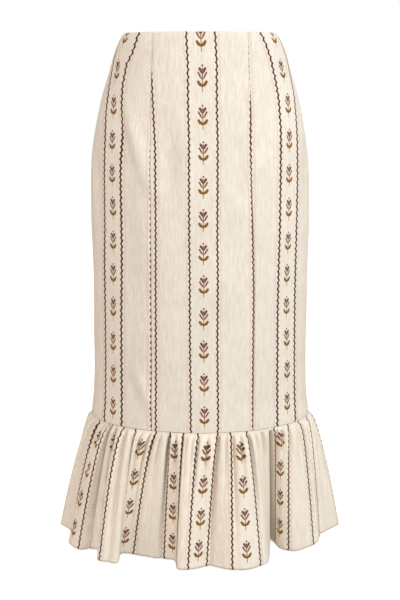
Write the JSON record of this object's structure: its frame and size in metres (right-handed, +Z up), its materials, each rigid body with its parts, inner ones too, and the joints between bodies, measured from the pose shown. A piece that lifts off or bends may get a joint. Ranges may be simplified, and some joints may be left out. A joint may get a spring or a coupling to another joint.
{
  "type": "linen skirt",
  "caption": "Fitted midi skirt of crinkled linen with princess seams, a printed sprig stripe, a gathered flounce at the hem and a concealed zip at the back.",
  "frame": {"origin": "centre of the waist's top edge, where the wearer's waist holds the skirt", "axes": "+Z up, the front faces -Y, +X is the wearer's left"},
  "size_m": [0.5263, 0.3718, 0.8954],
  "materials": {
    "front_centre_panel": "matt crinkled linen, ivory, with brown wavy stripes and sprigs",
    "front_side_panel_left": "matt crinkled linen, ivory, with brown wavy stripes and sprigs",
    "front_side_panel_right": "matt crinkled linen, ivory, with brown wavy stripes and sprigs",
    "back_panel_left": "matt crinkled linen, ivory, with brown wavy stripes and sprigs",
    "back_panel_right": "matt crinkled linen, ivory, with brown wavy stripes and sprigs",
    "flounce_front": "matt crinkled linen, ivory, with brown wavy stripes and sprigs",
    "flounce_back": "matt crinkled linen, ivory, with brown wavy stripes and sprigs",
    "zip_tape_left": "plain woven tape",
    "zip_tape_right": "plain woven tape",
    "zip_slider": "cream enamel, satin",
    "zip_pull": "cream enamel, satin"
  },
  "bodies": {
    "skirt": {"front_centre_panel": "front_centre_panel", "front_side_panel_left": "front_side_panel_left", "front_side_panel_right": "front_side_panel_right", "back_panel_left": "back_panel_left", "back_panel_right": "back_panel_right", "flounce_front": "flounce_front", "flounce_back": "flounce_back", "zip_tape_left": "zip_tape_left", "zip_tape_right": "zip_tape_right", "zip_slider": "zip_slider"},
    "pull": {"zip_pull": "zip_pull"}
  },
  "joints": [
    {"name": "pull_swing", "type": "hinge", "parent": "skirt", "child": "pull", "pos_m": [0, 0.0951, -0.00887], "axis": [1, 0, 0], "range_deg": [0, 165]}
  ]
}
